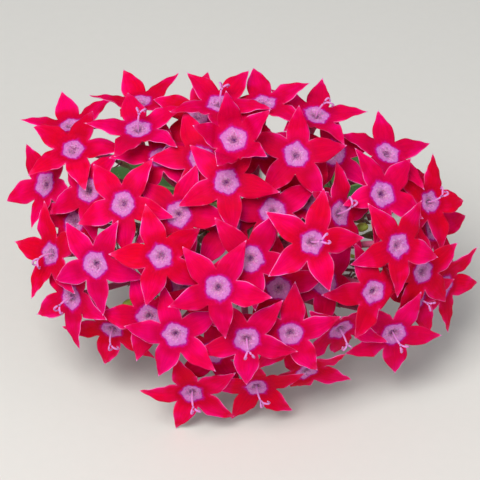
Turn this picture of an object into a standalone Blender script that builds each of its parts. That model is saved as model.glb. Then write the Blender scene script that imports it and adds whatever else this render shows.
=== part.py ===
# Pentas: a cut flower head on a short stem, lying on a flat surface.
# Metres, +Z up. The head faces -Y and upward, and the stem runs back along +Y.
# Sizes are in millimetres, and MM turns them to metres.

import math

import bmesh
import bpy
from mathutils import Matrix, Vector
from mathutils.bvhtree import BVHTree

MM = 0.001

# The head's own frame: x right, y up, z towards whoever looks at its face
HEAD_LIFT = math.radians(40.0)
DOME_HALF_WIDTH = 46.0
DOME_HALF_HEIGHT = 38.0
DOME_DROP = 22.0
VIEW_DISTANCE = 400.0
LEVEL_STEP = 4.2
TOP_LEVEL = 3.0
FACE_LEAN = math.radians(6.0)
RIM_LEAN = math.radians(40.0)
DOWNWARD_LEAN = 0.08
FORK = Vector((1.0, -2.0, -46.0))

# One floret
PETALS = 5
PETAL_STEP = 2.0 * math.pi / PETALS
SINUS_RADIUS = 3.9
HINGE_RADIUS = SINUS_RADIUS * math.cos(PETAL_STEP / 2.0)
THROAT_DEPTH = 1.1
BLADE_HALF = 0.3
PETAL_REACH = (1.9, 4.8, 7.9)
PETAL_HALF_WIDTH = (2.5, 1.35)
PETAL_DROOP = (math.radians(1.0), math.radians(9.0), math.radians(24.0))
CUP_DEPTH = 2.6
CUP_RADIUS = 1.15
TUBE_RADIUS = 0.8
TUBE_LENGTH = 19.0
TUBE_SHORTER_PER_LEVEL = 2.2
TUBE_POINTS = 4
STYLE_RADIUS = 0.32
STYLE_SIDES = 3

# Spacing of the florets
CLEARANCE = 0.3
TIGHT_CLEARANCE = 0.05
SPACING_ROUNDS = 60
DISC_KEEP_OUT = 5.6
DISC_THICKNESS = 2.2
TUBE_KEEP_OUT = 2.6
TUBE_SAMPLES = 9
BUD_KEEP_OUT = 3.0

STUB_POSE = (0.0, 0.0, 0.3)
REST_SPREAD = 6.0
REST_BEND = math.radians(40.0)
BISECTIONS = 24

# Calyx, pedicels and stem
OVARY_LENGTH = 2.4
OVARY_RADIUS = 1.05
SEPAL_REACH = 2.0
SEPAL_RISE = 0.4
NOTCH_DROP = 0.3
SEAT_GAP = 0.6
PEDICEL_RADIUS = 0.42
FORK_WAYS = 3
FORK_STEP = 0.32
FORK_GAIN = 0.2
SIDE_STALK = 0.75
SPREAD_TRIES = 6
STEM_RADIUS = 1.7
STEM_SIDES = 8
STEM_REACH = 46.0
STEM_FLAT = 12.0
STEM_SWAY = 3.0
STEM_POINTS = 8
CUT_SLANT = 0.5
JOIN_SOLVER = "EXACT"
BUD_LENGTH = 3.4
BUD_RADIUS = 1.25
BUD_LEVEL = -1.0

# Leaves
LEAF_LENGTH = 44.0
LEAF_HALF_WIDTH = 8.5
LEAF_HALF_THICKNESS = 0.35
LEAF_STATIONS = 8
LEAF_ARCH = 7.0
LEAF_WAVE = 0.9
LEAF_TURN = math.radians(18.0)
LEAF_GAP = 0.3
LEAF_NODE = 6
NODE_SWELL = 1.25
PETIOLE_RADIUS = 0.8
PETIOLE_SHARE = 0.13

# Each floret as it is seen from in front, in millimetres from the head's middle:
# x, y, the turn of one petal in degrees, the level it stands at, the turn of its style
# (None where the style stays inside the tube), how far its face leans and which way
# (None where it follows the dome), and how far its petals still close over its throat
FLORETS = (
    (-33.4, 18.6, 0, 2.0, None, (35, 95), 10),
    (-33.8, 23.6, 25, 0.0, None, (56, 100), 30),
    (-39.2, 11.4, -22, 1.0, None, (36, 165), 10),
    (-29.6, 10.2, -11, 1.0, None, None, 0),
    (-23.2, 7.4, -15, 2.0, None, None, 0),
    (-11.8, 5.2, -3, 1.0, None, None, 0),
    (-15.4, -3.4, 35, 2.5, None, None, 0),
    (-2.0, 12.0, -10, 2.0, None, None, 0),
    (-20.0, 22.8, -30, 2.0, 80, (46, 93), 20),
    (-19.6, 28.4, 27, 0.0, None, (56, 95), 30),
    (-15.2, 17.0, 20, 1.0, 20, (38, 90), 10),
    (-3.4, 28.0, -10, 2.0, 75, (46, 92), 20),
    (-7.2, 25.2, 10, 0.0, None, None, 0),
    (-7.2, 16.8, 35, 1.5, None, None, 0),
    (-0.4, 20.6, 29, 3.0, None, (16, 85), 64),
    (5.6, 27.6, 18, 1.5, None, (52, 88), 24),
    (5.4, 21.4, 10, 1.0, None, None, 0),
    (12.4, 17.4, 12, 2.0, None, None, 0),
    (16.4, 25.6, 0, 1.0, 30, (48, 75), 20),
    (20.0, 18.0, 20, 0.0, None, None, 0),
    (21.2, 5.4, 20, 1.0, 60, (44, 10), 10),
    (7.6, 5.8, 32, 0.6, None, None, 0),
    (15.0, 8.4, 0, 0.5, None, None, 0),
    (15.6, -0.4, 4, 3.0, 20, None, 0),
    (3.0, -4.0, -12, 2.0, None, None, 0),
    (31.0, 17.8, 12, 1.0, None, (42, 60), 14),
    (30.0, 9.4, -28, 2.0, None, None, 0),
    (35.6, 13.6, 10, 0.5, None, (50, 50), 0),
    (38.8, 13.0, 50, 0.0, None, (65, 30), 6),
    (39.2, 7.4, 3, 1.0, 50, None, 0),
    (33.2, -1.2, -16, 2.5, None, None, 0),
    (40.4, 2.4, 20, 0.0, None, (44, 0), 12),
    (37.4, -6.0, 35, 1.0, None, None, 0),
    (42.8, -9.4, 5, 0.0, None, (50, -20), 16),
    (28.2, -10.6, 40, 2.0, None, None, 0),
    (37.6, -12.2, 20, 1.0, -30, (38, -30), 6),
    (32.2, -19.2, -5, 1.0, -50, (36, -70), 6),
    (18.0, -8.6, -13, 0.0, None, None, 0),
    (8.8, -10.0, 20, 0.0, None, None, 0),
    (21.4, -18.4, 10, 0.5, -70, (56, -60), 24),
    (11.2, -19.2, 15, 1.5, None, None, 0),
    (2.2, -20.4, -17, 2.0, -80, None, 0),
    (14.4, -27.0, 40, 0.0, None, (54, -70), 20),
    (4.2, -30.2, 20, 0.5, -60, (48, -85), 16),
    (-9.0, -31.4, 27, 1.0, -75, (40, -95), 12),
    (-4.6, -23.0, 10, 0.0, None, None, 0),
    (-12.4, -19.4, 29, 2.0, None, None, 0),
    (-17.8, -15.8, 34, 1.0, None, None, 0),
    (-25.4, -18.4, 25, 0.0, -80, (50, -110), 20),
    (-33.8, -11.8, -20, 1.0, -120, (40, 195), 10),
    (-28.8, -5.0, -17, 2.0, None, None, 0),
    (-37.6, -2.8, 30, 1.0, -120, (42, 180), 12),
    (-34.2, 3.4, 16, 1.0, None, None, 0),
    (-3.6, -9.8, -12, 2.5, None, None, 0),
    (-10.6, -9.4, 15, 0.0, None, None, 0),
    (-1.6, 3.2, 20, 0.0, None, None, 0),
)

# Green buds in the gaps, as they are seen from in front
BUDS = (
    (-28.4, 3.6),
    (-38.0, 8.0),
    (22.0, 13.0),
    (9.6, -3.4),
    (-33.6, -6.4),
    (25.4, -3.6),
    (24.6, 2.4),
    (-21.0, -12.6),
)


def dome_ratio(x, y):
    return (x / DOME_HALF_WIDTH) ** 2 + (y / DOME_HALF_HEIGHT) ** 2


def dome_point(x, y, level):
    # A point seen at x, y from in front, moved out along its line of sight to its depth
    depth = -DOME_DROP * dome_ratio(x, y) - (TOP_LEVEL - level) * LEVEL_STEP
    spread = 1.0 - (depth + DOME_DROP) / VIEW_DISTANCE
    return Vector((x * spread, y * spread, depth))


def face_normal(x, y, lean):
    # The face leans outward more and more towards the rim, or as the table says
    if lean is not None:
        angle, towards = math.radians(lean[0]), math.radians(lean[1])
        return Vector((math.cos(towards) * math.sin(angle), math.sin(towards) * math.sin(angle), math.cos(angle)))
    outward = Vector((x / DOME_HALF_WIDTH ** 2, y / DOME_HALF_HEIGHT ** 2, 0.0))
    ratio = min(1.0, dome_ratio(x, y))
    if outward.length > 0.0:
        outward.normalize()
    angle = FACE_LEAN + RIM_LEAN * ratio
    normal = outward * math.sin(angle) + Vector((0.0, 0.0, math.cos(angle)))
    normal -= Vector((0.0, DOWNWARD_LEAN, 0.0))
    return normal.normalized()


def floret_axes(normal, turn):
    # x runs along the petal that is seen at this turn, and z out of the face
    seen = Vector((math.cos(turn), math.sin(turn), 0.0))
    seen.z = -(seen.x * normal.x + seen.y * normal.y) / normal.z
    x_axis = seen.normalized()
    y_axis = normal.cross(x_axis).normalized()
    return x_axis, y_axis


class Floret:
    def __init__(self, row):
        x, y, turn, self.level, style, lean, cup = row
        self.centre = dome_point(x, y, self.level)
        self.normal = face_normal(x, y, lean)
        self.x_axis, self.y_axis = floret_axes(self.normal, math.radians(turn))
        self.style = None if style is None else self.own_turn(math.radians(style))
        self.cup = math.radians(cup)
        self.poses = []

    def own_turn(self, seen_turn):
        # The turn in the floret's own frame of what is seen at a turn from in front
        seen = Vector((math.cos(seen_turn), math.sin(seen_turn), 0.0))
        return math.atan2(seen.dot(self.y_axis), seen.dot(self.x_axis))

    def frame(self):
        rows = zip(self.x_axis, self.y_axis, self.normal, self.centre)
        return Matrix([list(row) for row in rows] + [[0.0, 0.0, 0.0, 1.0]])

    def seat(self):
        # The end of the tube, on the line from the throat to the fork of the stem
        length = TUBE_LENGTH - TUBE_SHORTER_PER_LEVEL * (TOP_LEVEL - self.level)
        return self.centre + (FORK - self.centre).normalized() * length

    def seat_axis(self):
        return (self.centre - FORK).normalized()

    def tube_curve(self, count):
        start = self.centre - self.normal * CUP_DEPTH
        knee = self.centre - self.normal * (CUP_DEPTH + 5.0)
        end = self.seat()
        points = []
        for i in range(count):
            t = i / (count - 1)
            points.append(start * (1 - t) ** 2 + knee * 2 * t * (1 - t) + end * t ** 2)
        return points


def space_buds(buds, florets):
    # A bud gives way to the tubes round it
    tubes = [point for floret in florets for point in [floret.centre] + floret.tube_curve(TUBE_SAMPLES)]
    placed = []
    for x, y in buds:
        base = dome_point(x, y, BUD_LEVEL)
        for _ in range(SPACING_ROUNDS):
            axis = (base - FORK).normalized()
            for share in (0.0, 0.5, 1.0):
                point = base + axis * BUD_LENGTH * share
                near = min(tubes, key=lambda other: (other - point).length)
                away = point - near
                away -= axis * away.dot(axis)
                room = BUD_KEEP_OUT - (point - near).length
                if room > 0.0:
                    base += away.normalized() * room * 0.5
        placed.append((base, (base - FORK).normalized()))
    return placed


def push_apart(mover, other, shove, share):
    mover.centre += shove * share
    other.centre -= shove * (1.0 - share)


def space_florets(florets):
    # Deeper florets give way to the tubes and the throats of those above them
    for _ in range(SPACING_ROUNDS):
        tubes = [floret.tube_curve(TUBE_SAMPLES) for floret in florets]
        for i, upper in enumerate(florets):
            for j, lower in enumerate(florets):
                if i == j or (upper.centre - lower.centre).length > TUBE_LENGTH + DISC_KEEP_OUT:
                    continue
                share = 0.5 if upper.level == lower.level else 0.85
                if lower.level > upper.level:
                    share = 0.15
                if (upper.centre - lower.centre).length < 2.0 * DISC_KEEP_OUT:
                    keep_discs_apart(upper, lower, share)
                for point in tubes[i]:
                    offset = point - lower.centre
                    height = offset.dot(lower.normal)
                    sideways = offset - lower.normal * height
                    if abs(height) < DISC_THICKNESS and sideways.length < DISC_KEEP_OUT:
                        room = (DISC_KEEP_OUT - sideways.length) * 0.5
                        push_apart(lower, upper, -sideways.normalized() * room, share)
                        break
        keep_tubes_apart(florets)


def keep_discs_apart(upper, lower, share):
    offset = upper.centre - lower.centre
    height = abs(offset.dot(lower.normal))
    sideways = offset - lower.normal * offset.dot(lower.normal)
    needed = 2.0 * (SINUS_RADIUS + CLEARANCE)
    if height < DISC_THICKNESS and sideways.length < needed:
        sink = (DISC_THICKNESS - height) * 0.5
        push_apart(lower, upper, -lower.normal * sink * (1.0 if share > 0.2 else -1.0), share)


def keep_tubes_apart(florets):
    tubes = [floret.tube_curve(TUBE_SAMPLES) for floret in florets]
    for i in range(len(florets)):
        for j in range(i):
            if (florets[i].centre - florets[j].centre).length > TUBE_LENGTH:
                continue
            near = min(((p - q).length, a, b) for a, p in enumerate(tubes[i]) for b, q in enumerate(tubes[j]))
            if near[0] < TUBE_KEEP_OUT:
                away = (tubes[i][near[1]] - tubes[j][near[2]]).normalized()
                push_apart(florets[i], florets[j], away * (TUBE_KEEP_OUT - near[0]), 0.5)


def petal_rings(angle, pose, grow=0.0):
    # Left, right pairs from the sinus out, then the tip, each as top and bottom
    pitch, yaw, length = pose
    turn = angle + yaw
    along = Vector((math.cos(turn), math.sin(turn), 0.0))
    across = Vector((-math.sin(turn), math.cos(turn), 0.0))
    up = Vector((0.0, 0.0, 1.0))
    point = Vector((math.cos(angle), math.sin(angle), 0.0)) * HINGE_RADIUS
    half = BLADE_HALF + grow
    rings = []
    reached = 0.0
    for reach, droop in zip(PETAL_REACH, PETAL_DROOP):
        slope = pitch - droop
        heading = along * math.cos(slope) + up * math.sin(slope)
        lift = (up * math.cos(slope) - along * math.sin(slope)) * half
        point = point + heading * (reach * length - reached)
        reached = reach * length
        station = len(rings)
        if station < len(PETAL_HALF_WIDTH):
            width = PETAL_HALF_WIDTH[station] * (0.5 + 0.5 * length) + grow
            sides = (point + across * width, point - across * width)
        else:
            sides = (point + heading * grow,)
        rings.append([(side + lift, side - lift) for side in sides])
    return rings


def lone_petal(angle, pose, grow):
    # A closed petal of its own, larger all round, for finding what it would touch
    across = Vector((-math.sin(angle), math.cos(angle), 0.0))
    lift = Vector((0.0, 0.0, BLADE_HALF + grow))
    root = Vector((math.cos(angle), math.sin(angle), 0.0)) * HINGE_RADIUS
    width = SINUS_RADIUS * math.sin(PETAL_STEP / 2.0)
    rings = [[(root + across * s + lift, root + across * s - lift) for s in (width, -width)]]
    rings += petal_rings(angle, pose, grow)
    verts = []
    index = []
    for ring in rings:
        index.append([])
        for top, bottom in ring:
            index[-1].append((len(verts), len(verts) + 1))
            verts += [top, bottom]
    return verts, blade_faces(index)


def blade_faces(index):
    # index holds, for each station, the top and bottom corner of its left and right side
    faces = []
    for inner, outer in zip(index[:-1], index[1:]):
        left, right = inner
        if len(outer) == 2:
            out_left, out_right = outer
            faces.append((left[0], right[0], out_right[0]))
            faces.append((left[0], out_right[0], out_left[0]))
            faces.append((left[1], out_right[1], right[1]))
            faces.append((left[1], out_left[1], out_right[1]))
        else:
            out_left = out_right = outer[0]
            faces.append((left[0], right[0], out_left[0]))
            faces.append((left[1], out_left[1], right[1]))
        faces += quad(left[0], out_left[0], out_left[1], left[1])
        faces += quad(right[1], out_right[1], out_right[0], right[0])
    return faces


def quad(a, b, c, d):
    return [(a, b, c), (a, c, d)]


def ring_around(centre, tangent, reference, radius, sides):
    side = (reference - tangent * reference.dot(tangent)).normalized()
    other = tangent.cross(side)
    points = []
    for k in range(sides):
        angle = 2.0 * math.pi * k / sides
        points.append(centre + (side * math.cos(angle) + other * math.sin(angle)) * radius)
    return points


def tube_tangents(points):
    tangents = []
    for i in range(len(points)):
        before = points[max(0, i - 1)]
        after = points[min(len(points) - 1, i + 1)]
        tangents.append((after - before).normalized())
    return tangents


def bridge(lower, upper):
    faces = []
    count = len(lower)
    for k in range(count):
        following = (k + 1) % count
        faces += quad(lower[k], lower[following], upper[following], upper[k])
    return faces


def style_points(turn):
    # Out of the throat, leaning to one side and hooked at its end
    lean = Vector((math.cos(turn), math.sin(turn), 0.0))
    up = Vector((0.0, 0.0, 1.0))
    steps = ((0.0, -THROAT_DEPTH), (0.1, 1.0), (0.6, 2.6), (1.7, 3.5), (2.9, 3.0))
    return [lean * out + up * high for out, high in steps]


def add_style(verts, faces, rim, turn):
    # A thin tube that grows from the middle of the throat, stitched to the throat's rim
    points = style_points(turn)
    reference = Vector((-math.sin(turn), math.cos(turn), 0.0))
    rings = []
    for point, tangent in zip(points, tube_tangents(points)):
        ring = ring_around(point, tangent, reference, STYLE_RADIUS, STYLE_SIDES)
        rings.append(list(range(len(verts), len(verts) + STYLE_SIDES)))
        verts += ring
    for lower, upper in zip(rings[:-1], rings[1:]):
        faces += bridge(lower, upper)
    faces.append(tuple(rings[-1]))
    faces += stitch(verts, rim, rings[0])


def stitch(verts, outer, inner):
    # Triangles between two rings with unlike counts, by angle round the z axis
    def angle_of(i):
        return math.atan2(verts[i].y, verts[i].x) % (2.0 * math.pi)
    outer = sorted(outer, key=angle_of)
    inner = sorted(inner, key=angle_of)
    faces = []
    a = b = 0
    while a < len(outer) or b < len(inner):
        next_outer = angle_of(outer[a % len(outer)]) + (2.0 * math.pi if a >= len(outer) else 0.0)
        next_inner = angle_of(inner[b % len(inner)]) + (2.0 * math.pi if b >= len(inner) else 0.0)
        here_outer = outer[(a - 1) % len(outer)]
        here_inner = inner[(b - 1) % len(inner)]
        if b >= len(inner) or (a < len(outer) and next_outer <= next_inner):
            faces.append((here_outer, outer[a], here_inner))
            a += 1
        else:
            faces.append((here_outer, inner[b], here_inner))
            b += 1
    return faces


def floret_mesh(floret, poses):
    # Corners are in the floret's own frame, with its throat at the origin
    verts = []
    sinus = []
    for k in range(PETALS):
        angle = PETAL_STEP * (k - 0.5)
        point = Vector((math.cos(angle), math.sin(angle), 0.0)) * SINUS_RADIUS
        sinus.append((len(verts), len(verts) + 1))
        verts.append(point + Vector((0.0, 0.0, BLADE_HALF)))
        verts.append(point - Vector((0.0, 0.0, BLADE_HALF)))
    faces = []
    for k in range(PETALS):
        right = sinus[k]
        left = sinus[(k + 1) % PETALS]
        if k < len(poses):
            index = [[left, right]]
            for ring in petal_rings(PETAL_STEP * k, poses[k]):
                index.append([])
                for top, bottom in ring:
                    index[-1].append((len(verts), len(verts) + 1))
                    verts += [top, bottom]
            faces += blade_faces(index)
        else:
            faces += quad(left[0], left[1], right[1], right[0])
    add_throat(verts, faces, [pair[0] for pair in sinus], floret.style)
    add_tube(verts, faces, [pair[1] for pair in sinus], floret)
    return verts, faces


def add_throat(verts, faces, rim, style):
    if style is None:
        centre = len(verts)
        verts.append(Vector((0.0, 0.0, -THROAT_DEPTH)))
        for k in range(PETALS):
            faces.append((centre, rim[k], rim[(k + 1) % PETALS]))
    else:
        add_style(verts, faces, rim, style)


def add_tube(verts, faces, rim, floret):
    to_local = floret.frame().inverted()
    points = [to_local @ point for point in floret.tube_curve(TUBE_POINTS)]
    reference = Vector((math.cos(PETAL_STEP * -0.5), math.sin(PETAL_STEP * -0.5), 0.0))
    previous = rim
    for i, (point, tangent) in enumerate(zip(points, tube_tangents(points))):
        radius = CUP_RADIUS if i == 0 else TUBE_RADIUS
        ring = ring_around(point, -tangent, reference, radius, PETALS)
        index = list(range(len(verts), len(verts) + PETALS))
        verts += ring
        faces += bridge(index, previous)
        previous = index
    for k in range(1, PETALS - 1):
        faces.append((previous[0], previous[k + 1], previous[k]))


def pose_choices():
    # Ways a petal may bend to clear its neighbours, the least bent first
    choices = []
    for pitch in (0, -6, 6, -12, 12, -18, 18, -26, 26, -34, -44, 36, -56, 48, -68, 60):
        for yaw in (0, 5, -5, 10, -10):
            for length in (1.0, 0.86, 0.72, 0.56, 0.4, 0.26):
                cost = abs(pitch) / 6.0 + abs(yaw) / 5.0 * 0.7 + (1.0 - length) / 0.14 * 2.4
                choices.append((cost, math.radians(pitch), math.radians(yaw), length))
    choices.sort()
    return [choice[1:] for choice in choices]


def pose_petals(florets, fixed):
    # From the top level down, each petal takes the first bend that touches nothing placed yet
    choices = pose_choices()
    cores = [moved(floret.frame(), floret_mesh(floret, [])) for floret in florets]
    petals = []
    order = sorted(range(len(florets)), key=lambda i: (-florets[i].level, florets[i].centre.xy.length))
    for i in order:
        floret = florets[i]
        frame = floret.frame()
        tree = gather([core for j, core in enumerate(cores) if j != i] + petals + fixed)
        own_petals = []
        for k in range(PETALS):
            angle = PETAL_STEP * k
            pose = first_clear(choices, angle, floret.cup, frame, tree)
            floret.poses.append(pose)
            own_petals.append(moved(frame, lone_petal(angle, pose, 0.0)))
        petals += own_petals


def first_clear(choices, angle, cup, frame, tree):
    for clearance in (CLEARANCE, TIGHT_CLEARANCE):
        for pitch, yaw, length in choices:
            pose = (cup + pitch, yaw, length)
            verts, faces = lone_petal(angle, pose, clearance)
            blade = BVHTree.FromPolygons([frame @ v for v in verts], faces)
            if not tree.overlap(blade):
                return pose
    print("no clear place for a petal near", [round(value, 1) for value in frame.translation])
    return STUB_POSE


def moved(matrix, mesh):
    verts, faces = mesh
    return [matrix @ v for v in verts], faces


def gather(meshes):
    verts = []
    faces = []
    for mesh_verts, mesh_faces in meshes:
        start = len(verts)
        verts += mesh_verts
        faces += [tuple(i + start for i in face) for face in mesh_faces]
    return BVHTree.FromPolygons(verts, faces)


def head_to_world():
    # The face looks towards -Y and up by HEAD_LIFT
    rise, level = math.sin(HEAD_LIFT), math.cos(HEAD_LIFT)
    return Matrix(((1, 0, 0, 0), (0, rise, -level, 0), (0, level, rise, 0), (0, 0, 0, 1)))


def lowest_petal(florets, world, side):
    # The floret and petal whose tip is lowest on one side of the head
    found = []
    for floret in florets:
        for k, pose in enumerate(floret.poses):
            low = petal_low(floret, k, pose, world)
            if low.x * side > REST_SPREAD:
                found.append((low.z, low.x, floret, k))
    found.sort(key=lambda entry: entry[:2])
    return found[0][2], found[0][3]


def petal_low(floret, k, pose, world):
    frame = world @ floret.frame()
    corners = [c for ring in petal_rings(PETAL_STEP * k, pose) for pair in ring for c in pair]
    return min((frame @ corner for corner in corners), key=lambda v: v.z)


def rest_on_petals(florets, world):
    # The lowest tip on each side is bent until both lie at the height of the floor
    rests = [lowest_petal(florets, world, side) for side in (-1.0, 1.0)]
    heights = [petal_low(floret, k, floret.poses[k], world).z for floret, k in rests]
    floor = min(heights)
    for (floret, k), height in zip(rests, heights):
        pitch, yaw, length = floret.poses[k]
        low, high = pitch - REST_BEND, pitch
        for _ in range(BISECTIONS):
            middle = 0.5 * (low + high)
            if petal_low(floret, k, (middle, yaw, length), world).z < floor:
                low = middle
            else:
                high = middle
        if height > floor:
            floret.poses[k] = (high, yaw, length)
    return floor


def ring_solid(rings, tip=None):
    # A closed body from rings of equal count, with flat ends or a pointed far end
    verts = [point for ring in rings for point in ring]
    count = len(rings[0])
    faces = []
    for i in range(len(rings) - 1):
        lower = list(range(i * count, (i + 1) * count))
        upper = list(range((i + 1) * count, (i + 2) * count))
        faces += bridge(lower, upper)
    faces.append(tuple(reversed(range(count))))
    last = list(range((len(rings) - 1) * count, len(rings) * count))
    if tip is None:
        faces.append(tuple(last))
    else:
        verts.append(tip)
        for k in range(count):
            faces.append((last[k], last[(k + 1) % count], len(verts) - 1))
    return verts, faces


def stalk_rings(stalk, axis, reference, radii):
    # Rings along a stalk, and then along the axis of what it ends in
    points = [point for point, _ in stalk]
    rings = []
    for i, (point, radius) in enumerate(stalk):
        after = points[i + 1] if i + 1 < len(points) else point + axis
        before = points[i - 1] if i > 0 else point
        tangent = (after - before).normalized()
        rings.append(ring_around(point, tangent, reference, radius, PETALS))
    for point, radius in radii:
        rings.append(ring_around(point, axis, reference, radius, PETALS))
    return rings


def calyx_solid(seat, axis, stalk=()):
    # Ovary and five sepals below the end of a tube; seat is where the tube ends
    reference = axis.orthogonal().normalized()
    top = seat - axis * SEAT_GAP
    body = [(top - axis * OVARY_LENGTH, PEDICEL_RADIUS + 0.1), (top - axis, OVARY_RADIUS)]
    verts, faces = ring_solid(stalk_rings(stalk, axis, reference, body))
    faces.pop()
    other = axis.cross(reference)
    last = len(verts) - PETALS
    middle = len(verts)
    verts.append(top)
    for k in range(2 * PETALS):
        angle = math.pi * k / PETALS
        out = reference * math.cos(angle) + other * math.sin(angle)
        if k % 2 == 0:
            verts.append(top - axis * NOTCH_DROP + out * OVARY_RADIUS * 0.85)
        else:
            verts.append(top + out * SEPAL_REACH + axis * SEPAL_RISE)
    for k in range(PETALS):
        here, following = last + k, last + (k + 1) % PETALS
        notch = middle + 1 + 2 * k
        tip = notch + 1
        next_notch = middle + 1 + (2 * k + 2) % (2 * PETALS)
        faces += [(here, tip, notch), (here, following, tip), (following, next_notch, tip)]
        faces += [(notch, tip, middle), (tip, next_notch, middle)]
    return verts, faces


def bud_solid(base, axis, stalk=()):
    reference = axis.orthogonal().normalized()
    body = [(base + axis * BUD_LENGTH * along, BUD_RADIUS * radius)
            for along, radius in ((0.0, 0.4), (0.3, 0.95), (0.75, 0.75))]
    return ring_solid(stalk_rings(stalk, axis, reference, body), base + axis * BUD_LENGTH)


def grow(stalk, ends, solids):
    # Three stalks part at each fork; the middle one carries on and the others start inside it
    node, radius = stalk[-1]
    groups = share_out(ends, (sum((end[0] for end in ends), Vector()) / len(ends) - node).normalized())
    for group in groups:
        line = list(stalk) if group is groups[len(groups) // 2] else [(node, radius * SIDE_STALK)]
        if len(group) == 1:
            foot, shape, place = group[0]
            solids.append(shape(*place, line))
            continue
        middle = sum((end[0] for end in group), Vector()) / len(group)
        thickness = PEDICEL_RADIUS + FORK_GAIN * math.log(len(group))
        line.append((node.lerp(middle, FORK_STEP), min(radius, thickness)))
        grow(line, group, solids)


def share_out(ends, heading):
    # Side by side across the widest spread of the ends
    side = heading.orthogonal().normalized()
    other = heading.cross(side)
    turns = [math.pi * k / SPREAD_TRIES for k in range(SPREAD_TRIES)]
    directions = [side * math.cos(turn) + other * math.sin(turn) for turn in turns]
    def spread(direction):
        reach = [direction.dot(end[0]) for end in ends]
        return max(reach) - min(reach)
    widest = max(directions, key=spread)
    ends = sorted(ends, key=lambda end: widest.dot(end[0]))
    count = min(FORK_WAYS, len(ends))
    cuts = [round(len(ends) * k / count) for k in range(count + 1)]
    return [ends[low:high] for low, high in zip(cuts[:-1], cuts[1:])]


def bezier(a, b, c, d, t):
    u = 1.0 - t
    return a * u ** 3 + b * 3 * u * u * t + c * 3 * u * t * t + d * t ** 3


def stem_path(fork, floor):
    # Back and down from the fork, then flat along the floor to the cut
    rest = floor + STEM_RADIUS * math.cos(math.pi / STEM_SIDES)
    heading = Vector((0.0, math.cos(HEAD_LIFT), -math.sin(HEAD_LIFT)))
    landing = Vector((fork.x + STEM_SWAY, fork.y + STEM_REACH, rest))
    arrive = Vector((0.0, STEM_REACH * 0.5, 0.0))
    points = [bezier(fork, fork + heading * STEM_REACH * 0.35, landing - arrive, landing, i / STEM_POINTS)
              for i in range(STEM_POINTS + 1)]
    points.append(landing + Vector((0.0, STEM_FLAT, 0.0)))
    return points


def stem_solid(points):
    sideways = Vector((1.0, 0.0, 0.0))
    turn = Matrix.Rotation(math.pi / STEM_SIDES, 3, "Y")
    rings = []
    for i, (point, tangent) in enumerate(zip(points, tube_tangents(points))):
        if i >= len(points) - 2:
            tangent = Vector((0.0, 1.0, 0.0))
        radius = STEM_RADIUS * (NODE_SWELL if i == LEAF_NODE else 1.0)
        if i == 0:
            radius = STEM_RADIUS * 0.9
        side = Matrix.Rotation(math.pi / STEM_SIDES, 3, tangent) @ (sideways - tangent * tangent.x)
        rings.append(ring_around(point, tangent, side, radius, STEM_SIDES))
    for corner in rings[-1]:
        corner.y += (corner.z - points[-1].z) * CUT_SLANT
    return ring_solid(rings)


def leaf_solid(root, heading_turn, side, floor):
    # A pointed, ribbed blade that arches from its stalk down to the floor at its tip
    ahead = Vector((math.cos(heading_turn) * side, math.sin(heading_turn), 0.0))
    across = Vector((-ahead.y, ahead.x, 0.0))
    rows = []
    for i in range(LEAF_STATIONS + 1):
        t = i / LEAF_STATIONS
        width = leaf_half_width(t)
        height = (root.z - floor) * (1.0 - t) ** 2 + LEAF_ARCH * 4.0 * t * (1.0 - t) * (1.0 - 0.3 * t)
        middle = Vector((root.x, root.y, floor)) + ahead * LEAF_LENGTH * t
        middle += Vector((0.0, 0.0, height))
        wave = LEAF_WAVE * (1 if i % 2 else -1) * math.sin(math.pi * t)
        row = []
        for share in (-1.0, -0.5, 0.0, 0.5, 1.0):
            lift = abs(share) * 0.28 * width + (wave if abs(share) > 0.9 else 0.0)
            row.append(middle + across * width * share + Vector((0.0, 0.0, lift)))
        rows.append(row)
    return leaf_shell(rows, floor)


def leaf_half_width(t):
    # A stalk at first, then widest a little before the middle, ending in a point
    if t < PETIOLE_SHARE:
        return PETIOLE_RADIUS
    s = (t - PETIOLE_SHARE) / (1.0 - PETIOLE_SHARE)
    blade = LEAF_HALF_WIDTH * math.sin(math.pi * s ** 0.8) ** 0.85 if s < 1.0 else 0.0
    return max(PETIOLE_RADIUS * (1.0 - 0.5 * s), blade)


def leaf_shell(rows, floor):
    lift = Vector((0.0, 0.0, LEAF_HALF_THICKNESS))
    low = min(v.z - lift.z for v in rows[-1])
    for i, row in enumerate(rows):
        for point in row:
            point.z -= (low - floor) * i / LEAF_STATIONS
    tops = [[point + lift for point in row] for row in rows]
    bottoms = [[point - lift for point in row] for row in rows]
    width = len(rows[0])
    verts = [v for row in tops for v in row] + [v for row in bottoms for v in row]
    below = len(rows) * width
    faces = []
    for i in range(len(rows) - 1):
        for j in range(width - 1):
            a, b = i * width + j, i * width + j + 1
            c, d = a + width, b + width
            faces += [(a, b, d), (a, d, c)]
            faces += [(a + below, d + below, b + below), (a + below, c + below, d + below)]
        left, ahead = i * width, (i + 1) * width
        faces += quad(left, ahead, ahead + below, left + below)
        left, ahead = left + width - 1, ahead + width - 1
        faces += quad(ahead, left, left + below, ahead + below)
    last = (len(rows) - 1) * width
    for j in range(width - 1):
        faces += quad(j + 1, j, j + below, j + 1 + below)
        faces += quad(last + j, last + j + 1, last + j + 1 + below, last + j + below)
    return verts, faces


def material(name, colour, roughness):
    made = bpy.data.materials.new(name)
    made.use_nodes = True
    shader = made.node_tree.nodes["Principled BSDF"]
    shader.inputs["Base Color"].default_value = (*colour, 1.0)
    shader.inputs["Roughness"].default_value = roughness
    return made


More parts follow.
